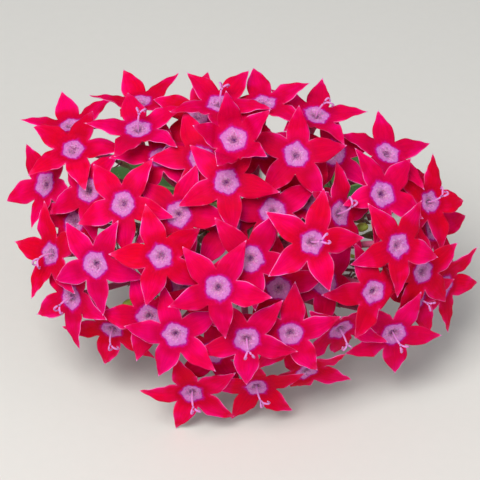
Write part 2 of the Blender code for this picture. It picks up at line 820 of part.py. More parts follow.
def mesh_object(name, solid, finish):
    verts, faces = solid
    mesh = bpy.data.meshes.new(name)
    mesh.from_pydata([v * MM for v in verts], [], faces)
    shape = bmesh.new()
    shape.from_mesh(mesh)
    bmesh.ops.recalc_face_normals(shape, faces=shape.faces)
    shape.to_mesh(mesh)
    shape.free()
    mesh.materials.append(finish)
    thing = bpy.data.objects.new(name, mesh)
    bpy.context.scene.collection.objects.link(thing)
    return thing


def join_solids(name, solids, finish):
    # One body from many that run into each other
    thing = mesh_object(name, solids[0], finish)
    group = bpy.data.collections.new(name + "_pieces")
    bpy.context.scene.collection.children.link(group)
    for solid in solids[1:]:
        piece = mesh_object(name + "_piece", solid, finish)
        bpy.context.scene.collection.objects.unlink(piece)
        group.objects.link(piece)
    union = thing.modifiers.new("join", "BOOLEAN")
    union.operation = "UNION"
    union.operand_type = "COLLECTION"
    union.collection = group
    union.solver = JOIN_SOLVER
    with bpy.context.temp_override(object=thing, active_object=thing):
        bpy.ops.object.modifier_apply(modifier=union.name)
    for piece in list(group.objects):
        bpy.data.objects.remove(piece)
    bpy.data.collections.remove(group)
    return thing


def build_stem(seats, buds, world, floor, finish):
    fork = world @ FORK
    path = stem_path(fork, floor)
    ends = [(seat - axis * (SEAT_GAP + OVARY_LENGTH), calyx_solid, (seat, axis)) for seat, axis in seats]
    ends += [(base, bud_solid, (base, axis)) for base, axis in buds]
    solids = [stem_solid(path)]
    grow([(fork, STEM_RADIUS * 0.7)], ends, solids)
    return join_solids("stem", solids, finish), path


def build_leaf(name, path, side, floor, finish):
    node = path[LEAF_NODE]
    root = node + Vector((side * (STEM_RADIUS * NODE_SWELL + LEAF_GAP), 0.0, 0.0))
    return mesh_object(name, leaf_solid(root, LEAF_TURN, side, floor), finish)


def move_to_base_centre(things):
    corners = [thing.matrix_world @ v.co for thing in things for v in thing.data.vertices]
    low = [min(c[axis] for c in corners) for axis in range(3)]
    high = [max(c[axis] for c in corners) for axis in range(3)]
    shift = Vector((-(low[0] + high[0]) / 2.0, -(low[1] + high[1]) / 2.0, -low[2]))
    for thing in things:
        thing.matrix_world = Matrix.Translation(shift) @ thing.matrix_world


def main():
    for thing in list(bpy.data.objects):
        bpy.data.objects.remove(thing)
    petal_finish = material("petal", (0.78, 0.005, 0.09), 0.55)
    stem_finish = material("stem", (0.22, 0.10, 0.06), 0.6)
    leaf_finish = material("leaf", (0.05, 0.17, 0.03), 0.5)

    world = head_to_world()
    florets = [Floret(row) for row in FLORETS]
    space_florets(florets)
    seats = [(floret.seat(), floret.seat_axis()) for floret in florets]
    buds = space_buds(BUDS, florets)
    fixed = [calyx_solid(*seat) for seat in seats] + [bud_solid(*bud) for bud in buds]
    pose_petals(florets, fixed)
    floor = rest_on_petals(florets, world)

    things = []
    for number, floret in enumerate(florets, 1):
        name = "floret_%02d" % number
        thing = mesh_object(name, floret_mesh(floret, floret.poses), petal_finish)
        frame = world @ floret.frame()
        frame.translation *= MM
        thing.matrix_world = frame
        things.append(thing)
    turn = world.to_3x3()
    seats = [(world @ seat, turn @ axis) for seat, axis in seats]
    buds = [(world @ base, turn @ axis) for base, axis in buds]
    stem, path = build_stem(seats, buds, world, floor, stem_finish)
    things.append(stem)
    things.append(build_leaf("leaf_left", path, -1.0, floor, leaf_finish))
    things.append(build_leaf("leaf_right", path, 1.0, floor, leaf_finish))
    bpy.context.view_layer.update()
    move_to_base_centre(things)
    holder = bpy.data.objects.new("pentas", None)
    bpy.context.scene.collection.objects.link(holder)
    for thing in things:
        thing.parent = holder


main()
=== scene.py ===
# Pentas flower head: fine florets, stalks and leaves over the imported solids.
# Works in millimetres in each piece's own code and in metres in the scene, +Z up.

import math
import random

import bmesh
import bpy
import numpy as np
from mathutils import Matrix, Vector
from mathutils.kdtree import KDTree


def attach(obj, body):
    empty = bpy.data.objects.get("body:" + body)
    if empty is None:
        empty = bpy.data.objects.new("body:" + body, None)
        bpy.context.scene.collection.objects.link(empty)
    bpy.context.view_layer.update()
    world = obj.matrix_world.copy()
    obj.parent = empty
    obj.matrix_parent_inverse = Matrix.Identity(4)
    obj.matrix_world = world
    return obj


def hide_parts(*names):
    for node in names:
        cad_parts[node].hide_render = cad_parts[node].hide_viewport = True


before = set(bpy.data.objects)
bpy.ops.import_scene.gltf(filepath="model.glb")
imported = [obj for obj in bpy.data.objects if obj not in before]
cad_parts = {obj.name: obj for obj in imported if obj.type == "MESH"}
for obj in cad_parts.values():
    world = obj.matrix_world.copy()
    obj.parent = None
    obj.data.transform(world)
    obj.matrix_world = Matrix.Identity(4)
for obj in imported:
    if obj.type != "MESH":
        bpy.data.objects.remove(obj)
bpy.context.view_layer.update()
mm = 0.001
up = Vector((0.0, 0.0, 1.0))

# What the pieces share with the solids, in millimetres and radians
solid = {
    "petals": 5,
    "sinus": 3.9,
    "bladeHalf": 0.3,
    "reach": (1.9, 4.8, 7.9),
    "halfWidth": (2.5, 1.35),
    "droop": (math.radians(1.0), math.radians(9.0), math.radians(24.0)),
    "headLift": math.radians(40.0),
    "fork": Vector((1.0, -2.0, -46.0)),
    "tubeFrom": -2.0,
    "styleFrom": 1.5,
    "match": 0.004,
}
petalStep = 2.0 * math.pi / solid["petals"]
hinge = solid["sinus"] * math.cos(petalStep / 2.0)
sinusHalf = solid["sinus"] * math.sin(petalStep / 2.0)


def linear(hexColour):
    parts = [int(hexColour[i : i + 2], 16) / 255.0 for i in (1, 3, 5)]
    return tuple(p / 12.92 if p <= 0.04045 else ((p + 0.055) / 1.055) ** 2.4 for p in parts) + (1.0,)


def setNode(tree, node, settings, links):
    # settings are properties or unlinked inputs; links come from outputs, or from a node's first live one
    for key, value in (settings or {}).items():
        if isinstance(key, str) and hasattr(node, key):
            setattr(node, key, value)
        else:
            node.inputs[key].default_value = linear(value) if isinstance(value, str) else value
    for key, source in (links or {}).items():
        if isinstance(source, bpy.types.Node):
            source = next(output for output in source.outputs if output.enabled)
        tree.links.new(source, node.inputs[key])
    return node


def addNode(tree, kind, settings=None, links=None):
    return setNode(tree, tree.nodes.new("ShaderNode" + kind), settings, links)


def newMaterial(name):
    made = bpy.data.materials.new(name)
    made.use_nodes = True
    tree = made.node_tree
    spot = addNode(tree, "TexCoord").outputs["Object"]
    return made, tree, tree.nodes["Principled BSDF"], spot


def readMarks(tree):
    # A shell's two vectors, place and chance, as six single values
    found = []
    for name in ("place", "chance"):
        marks = addNode(tree, "Attribute", {"attribute_name": name}).outputs["Vector"]
        found += list(addNode(tree, "SeparateXYZ", links={0: marks}).outputs)
    return found


def setRamp(node, stops):
    ramp = node.color_ramp
    while len(ramp.elements) < len(stops):
        ramp.elements.new(0.5)
    for element, (place, colour) in zip(ramp.elements, stops):
        element.position = place
        element.color = linear(colour)


def addObject(name, data):
    made = bpy.data.objects.new(name, data)
    bpy.context.scene.collection.objects.link(made)
    return made


class Shell:
    # The corners and faces of one piece, with two vectors for its material on each corner
    def __init__(self):
        self.verts, self.faces, self.place, self.chance = [], [], [], []

    def add(self, point, place, chance):
        self.verts.append(tuple(point))
        self.place.append(place)
        self.chance.append(chance)
        return len(self.verts) - 1

    def band(self, one, two, closed=False):
        count = len(one)
        for j in range(count if closed else count - 1):
            n = (j + 1) % count
            self.faces.append((one[j], one[n], two[n], two[j]))


def newPiece(name, shell, material, place=Matrix()):
    mesh = bpy.data.meshes.new(name)
    mesh.from_pydata([tuple(place @ Vector(v) * mm) for v in shell.verts], [], shell.faces)
    for key, values in (("place", shell.place), ("chance", shell.chance)):
        layer = mesh.attributes.new(key, "FLOAT_VECTOR", "POINT")
        layer.data.foreach_set("vector", np.asarray(values, dtype=np.float32).ravel())
    mesh.polygons.foreach_set("use_smooth", [True] * len(mesh.polygons))
    mesh.materials.append(material)
    mesh.update()
    return addObject(name, mesh)


def finishPiece(piece, node):
    bpy.context.view_layer.update()
    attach(piece, "root")
    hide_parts(node)
    return sum(len(p.vertices) - 2 for p in piece.data.polygons)


def treeOf(points):
    tree = KDTree(len(points))
    for i, point in enumerate(points):
        tree.insert(point, i)
    tree.balance()
    return tree


def outward(angle):
    return Vector((math.cos(angle), math.sin(angle), 0.0))


def cornersOf(node):
    # The separate corners of a solid, in millimetres
    seen = {}
    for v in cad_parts[node].data.vertices:
        seen.setdefault(tuple(round(c / mm, 3) for c in v.co), v.co / mm)
    return [Vector(v) for v in seen.values()]


def sinusRings(corners):
    # The two flat pentagons between the petals, found by the length of their sides
    side = 2.0 * sinusHalf
    match = solid["match"]
    near = [[j for j, q in enumerate(corners) if abs((p - q).length - side) < match] for p in corners]
    rings = set()
    for a in range(len(corners)):
        for b in near[a]:
            for c in near[b]:
                for d in near[c]:
                    if len({a, b, c, d}) < 4:
                        continue
                    for e in near[d]:
                        if e in near[a] and e not in (b, c):
                            ring = frozenset((a, b, c, d, e))
                            middle = sum((corners[i] for i in ring), Vector()) / 5.0
                            spokes = [(corners[i] - middle).length for i in ring]
                            if all(abs(spoke - solid["sinus"]) < match for spoke in spokes):
                                rings.add(ring)
    return [sorted(ring) for ring in rings]


def floretFrame(corners):
    # The floret's own frame: its origin in the eye, +Z out of its face and +X along a petal
    best = None
    rings = sinusRings(corners)
    for one in rings:
        for two in rings:
            middles = [sum((corners[i] for i in ring), Vector()) / 5.0 for ring in (one, two)]
            gap = middles[0] - middles[1]
            if one is not two and abs(gap.length - 2.0 * solid["bladeHalf"]) < solid["match"]:
                centre = (middles[0] + middles[1]) / 2.0
                normal = gap.normalized()
                # The far end of the tube tells which side is the back
                far = max(corners, key=lambda v: (v - centre).length)
                below = (centre - far).dot(normal)
                if best is None or below > best[0]:
                    best = (below, centre, normal, corners[one[0]] - middles[0])
    _, centre, normal, spoke = best
    turn = Matrix.Rotation(petalStep / 2.0, 3, normal)
    xAxis = (turn @ spoke).normalized()
    yAxis = normal.cross(xAxis)
    rows = [list(row) for row in zip(xAxis, yAxis, normal, centre)]
    return Matrix(rows + [[0.0, 0.0, 0.0, 1.0]])


def petalCorners(angle, pose):
    # Where the corners of a solid petal are in a pose of pitch, yaw and length
    pitch, yaw, length = pose
    along = outward(angle + yaw)
    across = Vector((-along.y, along.x, 0.0))
    point = outward(angle) * hinge
    reached = 0.0
    found = []
    for i, (reach, droop) in enumerate(zip(solid["reach"], solid["droop"])):
        slope = pitch - droop
        heading = along * math.cos(slope) + up * math.sin(slope)
        lift = (up * math.cos(slope) - along * math.sin(slope)) * solid["bladeHalf"]
        point = point + heading * (reach * length - reached)
        reached = reach * length
        width = solid["halfWidth"][i] * (0.5 + 0.5 * length) if i < 2 else 0.0
        for side in (point + across * width, point - across * width)[: 2 if i < 2 else 1]:
            found += [side + lift, side - lift]
    return found


def misfit(tree, angle, pose, limit):
    total = 0.0
    for corner in reversed(petalCorners(angle, pose)):
        total += tree.find(corner)[2]
        if total > limit:
            break
    return total


def readPose(tree, angle):
    best = (1e9, choices[0])
    for pose in choices:
        total = misfit(tree, angle, pose, best[0])
        if total < best[0]:
            best = (total, pose)
    if best[0] > 0.5:
        # The petal that was bent to reach the floor stands between two of the choices
        coarse = best[1]
        for step in range(-100, 101):
            for yaw, length in sorted({(p[1], p[2]) for p in choices if p[2] > 0.5}):
                pose = (coarse[0] + math.radians(step * 0.05), yaw, length)
                total = misfit(tree, angle, pose, best[0])
                if total < best[0]:
                    best = (total, pose)
    return best


def readFloret(name):
    corners = cornersOf(name)
    place = floretFrame(corners)
    local = [place.inverted() @ v for v in corners]
    tree = treeOf(local)
    poses, used, worst = [], set(), 0.0
    for k in range(solid["petals"]):
        total, pose = readPose(tree, petalStep * k)
        worst = max(worst, total)
        poses.append(pose)
        used.update(tree.find(c)[1] for c in petalCorners(petalStep * k, pose))
    # What the petals leave is the tube behind them and the style in front
    rest = [v for i, v in enumerate(local) if i not in used]
    tube = sorted((v for v in rest if v.z < solid["tubeFrom"]), key=lambda v: v.length)
    rings = [sum(tube[i : i + 5], Vector()) / 5.0 for i in range(0, len(tube) - 4, 5)]
    tip = sorted((v for v in rest if v.z > solid["styleFrom"]), key=lambda v: -math.hypot(v.x, v.y))[:3]
    lean = None
    if len(tip) == 3:
        middle = sum(tip, Vector()) / 3.0
        lean = math.atan2(middle.y, middle.x)
    return {"name": name, "place": place, "poses": poses, "tube": rings, "style": lean, "worst": worst}


def nearestPoint(lines):
    # The point that lies nearest to all the lines
    total = np.zeros((3, 3))
    right = np.zeros(3)
    for point, direction in lines:
        d = np.array(direction)
        flat = np.eye(3) - np.outer(d, d)
        total += flat
        right += flat @ np.array(point)
    return Vector(np.linalg.solve(total, right))


# The poses that the solids' petals were drawn from: pitch, yaw and length
choices = [(math.radians(pitch), math.radians(yaw), length) for pitch in range(-68, 125, 2)
           for yaw in (0, 5, -5, 10, -10) for length in (1.0, 0.86, 0.72, 0.56, 0.4, 0.3, 0.26)]
florets = [readFloret(name) for name in sorted(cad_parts) if name.startswith("floret_")]
for floret in florets:
    floret["centre"] = floret["place"].translation.copy()
    floret["seat"] = floret["place"] @ floret["tube"][-1]
    floret["axis"] = (floret["centre"] - floret["seat"]).normalized()
fork = nearestPoint([(f["centre"], f["axis"]) for f in florets])
rise, level = math.sin(solid["headLift"]), math.cos(solid["headLift"])
headTurn = Matrix(((1, 0, 0), (0, rise, -level), (0, level, rise)))
headMiddle = fork - headTurn @ solid["fork"]
print("florets read:", len(florets), "worst misfit mm", round(max(f["worst"] for f in florets), 3))
print("fork at", [round(c, 2) for c in fork], "head middle at", [round(c, 2) for c in headMiddle])


# The corollas, in each floret's own frame: the eye, five thin petals, the tube, hairs and the style.
# Lengths are in millimetres, hook and slopes in degrees and other angles in radians.
petalLook = {
    "columns": 12,
    "rows": 18,
    "rowPower": 0.9,
    "curveSteps": 60,
    "widths": ((0.0, 2.292), (0.9, 2.46), (1.9, 2.5), (3.35, 2.1), (4.8, 1.42), (6.3, 0.74), (7.3, 0.28),
               (7.9, 0.0)),
    "widthLuck": (-0.06, 0.05),
    "widthOver": 2.0,
    "slopes": ((0.0, -2.0), (0.95, 1.0), (3.35, 9.0), (6.35, 24.0), (7.9, 30.0)),
    "pitchOver": 1.0,
    "yawOver": 1.5,
    "hook": 72.0,
    "hookShare": (-0.35, 1.0),
    "hookOver": (6.2, 1.7),
    "hookPower": 1.7,
    "swerve": 0.1,
    "swerveOver": (4.0, 3.9),
    "grownAt": 2.5,
    "fold": 0.2,
    "foldShare": (-1.0, 0.7),
    "foldPower": 1.6,
    "sideLift": (-0.12, 0.34),
    "groove": 0.1,
    "grooveHalf": 0.16,
    "grooveEnd": 8.0,
    "wave": 0.13,
    "waveStart": 6.28,
    "waveRate": (0.8, 1.3),
    "wavePitch": 1.9,
    "waveSides": 1.6,
    "twist": 0.22,
    "thickness": 0.13,
    "rimThickness": 0.05,
    "tipThinning": 0.6,
    "flatPitch": 0.8,
    "throatRows": 10,
    "throatPower": 1.1,
    "mouth": 0.55,
    "dish": ((0.0, -1.2), (0.45, -0.85), (0.75, -0.42), (1.2, -0.2), (2.0, -0.06), (3.2, 0.04), (3.9, 0.08)),
    "dishFolds": 0.07,
    "eyeCorners": 0.6,
    "eyeBlend": 2.5,
    "funnel": ((3.1, -0.35), (2.3, -0.8), (1.6, -1.45), (1.15, -2.2), (0.98, -2.9)),
    "tubeRows": 12,
    "tubeRadius": 0.72,
    "tubeFlare": 0.25,
    "tubeWaist": 0.08,
    "tubeRib": 0.06,
    "hairs": 100,
    "hairFrom": 0.45,
    "hairSpread": 1.3,
    "hairCrowd": 1.7,
    "hairSunk": 0.04,
    "hairLength": (0.3, 0.65),
    "hairInward": (0.1, 0.75),
    "hairMouth": 1.4,
    "hairRadius": 0.04,
    "styleRadius": 0.2,
    "styleOutUp": ((0.0, -1.6), (0.05, 0.2), (0.2, 1.2), (0.55, 2.2), (1.0, 2.9)),
    "armOutUpSide": ((0.0, -0.15, 0.0), (0.45, 0.45, 0.35), (1.15, 0.5, 0.8), (1.75, 0.05, 0.95),
                     (1.85, -0.45, 0.7), (1.5, -0.6, 0.5)),
    "armRadius": 0.17,
    "armSwell": 0.06,
    # The eye's stops start with painted shade: the darkest purples in its middle stand in for the shade where
    # the tube opens
    "eyeStops": (("pit", 0.0), ("mouth", 0.03), ("inner", 0.062), ("eye", 0.13), ("eyeRim", 0.212),
                 ("ring", 0.232), ("halo", 0.254), ("root", 0.285), ("blade", 0.43), ("outer", 0.8),
                 ("tip", 0.985)),
    "lowerStops": (("under", 0.0), ("tube", 0.3), ("tubeEnd", 1.0)),
    "colours": {
        # The first two colours are painted shade where the tube opens into the eye
        "pit": "#64266E", "mouth": "#9C4890", "inner": "#D284B8", "eye": "#D07ABF", "eyeRim": "#CA72BE",
        "ring": "#B01A90", "halo": "#C80868", "root": "#C60036", "blade": "#D2002E", "outer": "#DC003E",
        # The hot pink and the pale pink for the petal edges are a painted sheen and a painted highlight
        "flush": "#F00068", "tip": "#F0307C", "paintedSheen": "#FF1A90", "rim": "#FFACF0", "fleck": "#EEBEE0",
        "under": "#CC4874", "tube": "#D86A96", "tubeEnd": "#A04A68", "sheen": "#FF2070",
        "hairDark": "#98408E", "hairPale": "#E2A4D2", "style": "#DA8CD2",
    },
}


def eyeReach(point):
    # The distance from the middle as the eye's border sees it: a soft pentagon with a corner on each petal
    fromSinus = math.atan2(point[1], point[0]) % petalStep - petalStep / 2.0
    bent = petalLook["eyeCorners"]
    return math.hypot(point[0], point[1]) * (1.04 - bent + 1.14 * bent * math.cos(fromSinus))


def fade(value, start, span):
    # Goes from 0 to 1 over the span
    return np.clip((value - start) / span, 0.0, 1.0)


def profile(pairs, value):
    return float(np.interp(value, [p[0] for p in pairs], [p[1] for p in pairs]))


def smoothProfile(pairs, value):
    # A smooth curve through the pairs
    xs = np.array([p[0] for p in pairs])
    ys = np.array([p[1] for p in pairs])
    slopes = np.gradient(ys, xs)
    value = np.clip(value, xs[0], xs[-1])
    i = np.clip(np.searchsorted(xs, value) - 1, 0, len(xs) - 2)
    gap = xs[i + 1] - xs[i]
    t = (value - xs[i]) / gap
    a = (1 + 2 * t) * (1 - t) ** 2 * ys[i] + t * (1 - t) ** 2 * gap * slopes[i]
    b = t * t * (3 - 2 * t) * ys[i + 1] + t * t * (t - 1) * gap * slopes[i + 1]
    return a + b


def smoothLine(points, count):
    # Evenly spread points on a smooth curve through the given ones
    sample = np.linspace(0.0, len(points) - 1, count + 1)
    curves = [smoothProfile([(i, p[axis]) for i, p in enumerate(points)], sample) for axis in range(3)]
    return [Vector(row) for row in zip(*curves)]


def petalSheet(angle, pose, draw):
    # Middle surface of one petal as rows of points from its root to its tip, with the reach of each row
    look = petalLook
    pitch, yaw, length = pose
    steps = look["curveSteps"]
    s = np.linspace(0.0, solid["reach"][-1], steps + 1)
    hook = math.radians(look["hook"]) * draw.uniform(*look["hookShare"])
    eased = fade(s, 0.0, look["pitchOver"])
    slope = pitch * eased * eased * (3.0 - 2.0 * eased) - np.radians(smoothProfile(look["slopes"], s))
    slope += hook * fade(s, *look["hookOver"]) ** look["hookPower"]
    turn = angle + yaw * fade(s, 0.0, look["yawOver"])
    swerved = turn + draw.uniform(-look["swerve"], look["swerve"]) * fade(s, *look["swerveOver"])
    heading = np.stack([np.cos(swerved) * np.cos(slope), np.sin(swerved) * np.cos(slope), np.sin(slope)], 1)
    centre = np.zeros((steps + 1, 3))
    centre[0] = (math.cos(angle) * hinge, math.sin(angle) * hinge, 0.0)
    centre[1:] = centre[0] + np.cumsum((heading[:-1] + heading[1:]) * 0.5 * (s[1] * length), axis=0)
    across = np.stack([-np.sin(turn), np.cos(turn), np.zeros(steps + 1)], 1)
    lift = np.cross(heading, across)
    lift /= np.linalg.norm(lift, axis=1)[:, None]
    narrow = 1.0 - (0.5 - 0.5 * length) * fade(s, 0.0, solid["reach"][0])
    varied = 1.0 + draw.uniform(*look["widthLuck"]) * fade(s, 0.0, look["widthOver"])
    width = smoothProfile(look["widths"], s) * narrow * varied
    w = np.linspace(-1.0, 1.0, look["columns"] + 1)
    bent = np.abs(w) ** 3
    fold = look["fold"] * draw.uniform(*look["foldShare"])
    waveStart, waveRate = draw.uniform(0, look["waveStart"]), draw.uniform(*look["waveRate"])
    twist = draw.uniform(-look["twist"], look["twist"])
    sideLift = np.where(w < 0.0, draw.uniform(*look["sideLift"]), draw.uniform(*look["sideLift"]))
    sheet, reach = [], []
    for pick in np.linspace(0.0, 1.0, look["rows"] + 1) ** look["rowPower"] * steps:
        low = min(int(pick), steps - 1)
        t = pick - low
        here, half, middle, aside, above = (
            table[low] * (1 - t) + table[low + 1] * t for table in (s, width, centre, across, lift))
        grown = min(1.0, here / look["grownAt"])
        bowl = fold * np.abs(w) ** look["foldPower"] * half * grown
        groove = look["groove"] * np.exp(-((w / look["grooveHalf"]) ** 2)) * grown
        groove *= min(1.0, (look["grooveEnd"] - here) / look["grownAt"])
        phase = here * waveRate * look["wavePitch"] + waveStart + look["waveSides"] * np.sign(w)
        wave = look["wave"] * np.sin(phase) * bent * grown
        roll = twist * grown * w * half * here / solid["reach"][-1]
        curl = sideLift * bent * half * grown * grown
        height = bowl - groove + wave * min(1.0, half) + roll + curl
        sheet.append(middle + aside * (w * half)[:, None] + above * height[:, None])
        reach.append(float(here))
    return np.array(sheet), reach


def sheetNormals(sheet):
    along = np.gradient(sheet, axis=0)
    side = np.gradient(sheet, axis=1)
    normals = np.cross(along, side)
    size = np.linalg.norm(normals, axis=2)[:, :, None]
    return normals / np.maximum(size, 1e-9)


def buildCorolla(floret, shell, draw):
    # place holds the reach from the middle, the way from midline to edge, and the part:
    # 0 upper side, 1 underside, 1 to 2 down the tube, 3 hairs, 4 style
    look = petalLook
    columns = look["columns"]
    count = solid["petals"] * columns
    floretTint = draw.random()
    plain = (0.5, floretTint, 0.0)
    sheets = [petalSheet(petalStep * k, pose, draw) for k, pose in enumerate(floret["poses"])]
    rim = [Vector(sheet[0][j]) for sheet, _ in sheets for j in range(columns)]
    angles = [petalStep * (-0.5 + c / columns) for c in range(count)]
    outs = [outward(angle) for angle in angles]
    acrossAt = [abs(-1.0 + 2.0 * (c % columns) / columns) for c in range(count)]

    # The flat eye from the mouth of the tube to the roots of the petals
    rings = []
    for i in range(look["throatRows"]):
        u = (i / look["throatRows"]) ** look["throatPower"]
        ring = []
        for c in range(count):
            point = outs[c] * look["mouth"] * (1.0 - u) + rim[c] * u
            point.z = profile(look["dish"], math.hypot(point.x, point.y)) * (1.0 - u ** 4)
            point.z += look["dishFolds"] * math.cos(angles[c] * solid["petals"]) * math.sin(math.pi * u)
            ring.append(shell.add(point, (eyeReach(point), acrossAt[c] * u, 0.0), plain))
        rings.append(ring)
    topRim, lowRim = [], []
    for c in range(count):
        topRim.append(shell.add(rim[c] + up * look["thickness"], (eyeReach(rim[c]), acrossAt[c], 0.0), plain))
        lowRim.append(shell.add(rim[c] - up * look["thickness"], (hinge, acrossAt[c], 1.0), plain))
    rings.append(topRim)
    # The mouth of the tube is closed with a shallow pit, which the material paints dark as the tube's shade
    pit = shell.add((0.0, 0.0, look["dish"][0][1]), (0.0, 0.0, 0.0), plain)
    for c in range(count):
        shell.faces.append((pit, rings[0][c], rings[0][(c + 1) % count]))
    for one, two in zip(rings[:-1], rings[1:]):
        shell.band(two, one, True)

    # The funnel under the eye and the tube down to its seat
    previous = lowRim
    for i, (radius, depth) in enumerate(look["funnel"], 1):
        u = i / len(look["funnel"])
        ring = []
        for c in range(count):
            edge = math.hypot(rim[c].x, rim[c].y) / solid["sinus"]
            size = radius * (edge * (1.0 - u) + u)
            ring.append(shell.add(outs[c] * size + up * depth, (3.0 - 2.0 * u, 0.0, 1.0), plain))
        shell.band(previous, ring, True)
        previous = ring
    start = Vector((0.0, 0.0, look["funnel"][-1][1]))
    points = smoothLine([start] + floret["tube"][1:], look["tubeRows"])
    sides = solid["petals"] * 2
    ribs = columns // 2
    for i in range(1, len(points)):
        t = i / (len(points) - 1)
        tangent = (points[min(i + 1, len(points) - 1)] - points[i - 1]).normalized()
        side = (Vector((1.0, 0.0, 0.0)) - tangent * tangent.x).normalized()
        other = tangent.cross(side)
        swell = 1.0 + look["tubeFlare"] * (1.0 - t) ** 3 - look["tubeWaist"] * math.sin(math.pi * t)
        ring = []
        for c in range(sides):
            angle = angles[c * ribs]
            out = side * math.cos(angle) - other * math.sin(angle)
            size = look["tubeRadius"] * swell * (1.0 + (look["tubeRib"] if c % 2 else -look["tubeRib"]))
            ring.append(shell.add(points[i] + out * size, (0.0, 0.0, 1.0 + t), plain))
        if i == 1:
            for c in range(sides):
                arc = [previous[(c * ribs + m) % count] for m in range(ribs + 1)]
                shell.faces.append(tuple(arc + [ring[(c + 1) % sides], ring[c]]))
        else:
            shell.band(previous, ring, True)
        previous = ring
    shell.faces.append(tuple(previous))

    # Each petal has an upper and a lower skin that close along the edges and at the tip
    for k, (sheet, reach) in enumerate(sheets):
        normals = sheetNormals(sheet)
        chance = (draw.random(), floretTint, 0.0)
        around = [(k * columns + j) % count for j in range(columns + 1)]
        starts = [eyeReach(rim[c]) for c in around]
        top, low = [[topRim[c] for c in around]], [[lowRim[c] for c in around]]
        rows = len(reach) - 1
        isFlat = abs(floret["poses"][k][0]) < look["flatPitch"]
        for i in range(1, rows):
            topRow, lowRow = [], []
            for j in range(columns + 1):
                w = abs(-1.0 + 2.0 * j / columns)
                thick = look["thickness"] * (1.0 - w ** 4) + look["rimThickness"] * w ** 4
                offset = normals[i, j] * (thick * (1.0 - look["tipThinning"] * i / rows))
                if isFlat and offset[2] * normals[rows // 2, columns // 2][2] < 0:
                    offset = -offset
                place = starts[j] + (hinge - starts[j]) * min(1.0, reach[i] / look["eyeBlend"]) + reach[i]
                topRow.append(shell.add(sheet[i, j] + offset, (place, w, 0.0), chance))
                lowRow.append(shell.add(sheet[i, j] - offset, (place, w, 1.0), chance))
            top.append(topRow)
            low.append(lowRow)
        for i in range(len(top) - 1):
            shell.band(top[i + 1], top[i])
            shell.band(low[i], low[i + 1])
        tip = shell.add(sheet[-1, columns // 2], (hinge + reach[-1], 1.0, 0.0), chance)
        for j in range(columns):
            shell.faces.append((tip, top[-1][j + 1], top[-1][j]))
            shell.faces.append((tip, low[-1][j], low[-1][j + 1]))
        for edge, one, two in ((0, low, top), (columns, top, low)):
            ones, twos = [row[edge] for row in one], [row[edge] for row in two]
            shell.band(ones, twos)
            shell.faces.append((twos[-1], ones[-1], tip))
    return floretTint


def addThread(shell, points, radii, place, chance, sides=3):
    # A thin round thread that ends in a point
    rings = []
    for i in range(len(points) - 1):
        tangent = (points[i + 1] - points[max(0, i - 1)]).normalized()
        side = tangent.orthogonal().normalized()
        other = tangent.cross(side)
        ring = []
        for c in range(sides):
            angle = 2.0 * math.pi * c / sides
            out = side * math.cos(angle) + other * math.sin(angle)
            ring.append(shell.add(points[i] + out * radii[i], place, chance))
        if rings:
            shell.band(rings[-1], ring, True)
        rings.append(ring)
    end = shell.add(points[-1], place, chance)
    for c in range(sides):
        shell.faces.append((rings[-1][c], rings[-1][(c + 1) % sides], end))
    shell.faces.append(tuple(reversed(rings[0])))


def addHairs(shell, draw, tint):
    # Fine hairs in the eye that lean in over the mouth of the tube
    look = petalLook
    for _ in range(look["hairs"]):
        out = outward(draw.uniform(0.0, 2.0 * math.pi))
        side = Vector((-out.y, out.x, 0.0))
        radius = look["hairFrom"] + look["hairSpread"] * draw.random() ** look["hairCrowd"]
        root = out * radius + up * (profile(look["dish"], radius) - look["hairSunk"])
        length = draw.uniform(*look["hairLength"])
        inward = draw.uniform(*look["hairInward"]) if radius < look["hairMouth"] else draw.uniform(-0.5, 0.5)
        heading = (up - out * inward + side * draw.uniform(-0.5, 0.5)).normalized()
        bend = -out * inward * 0.5 + side * draw.uniform(-0.3, 0.3)
        middle = root + heading * length * 0.55
        end = middle + (heading + bend).normalized() * length * 0.45
        radii = (look["hairRadius"], look["hairRadius"] * 0.7)
        addThread(shell, [root, middle, end], radii, (1.5, 0.0, 3.0), (draw.random(), tint, 0.0))


def addStyle(shell, lean, draw, tint):
    # The style stands out of the mouth and parts into two curled arms
    look = petalLook
    out = outward(lean)
    side = Vector((-out.y, out.x, 0.0))
    line = [out * outer + up * height for outer, height in look["styleOutUp"]]
    curves = [(line, 10, look["styleRadius"], 0.0)]
    for way in (-1.0, 1.0):
        arm = [line[-1] + out * outer + up * height + side * way * aside
               for outer, height, aside in look["armOutUpSide"]]
        curves.append((arm, 12, look["armRadius"], look["armSwell"]))
    for curve, count, radius, swell in curves:
        radii = [radius + swell * math.sin(math.pi * i / count) for i in range(count + 1)]
        addThread(shell, smoothLine(curve, count), radii, (1.9, 0.0, 4.0), (draw.random(), tint, 0.0), 6)


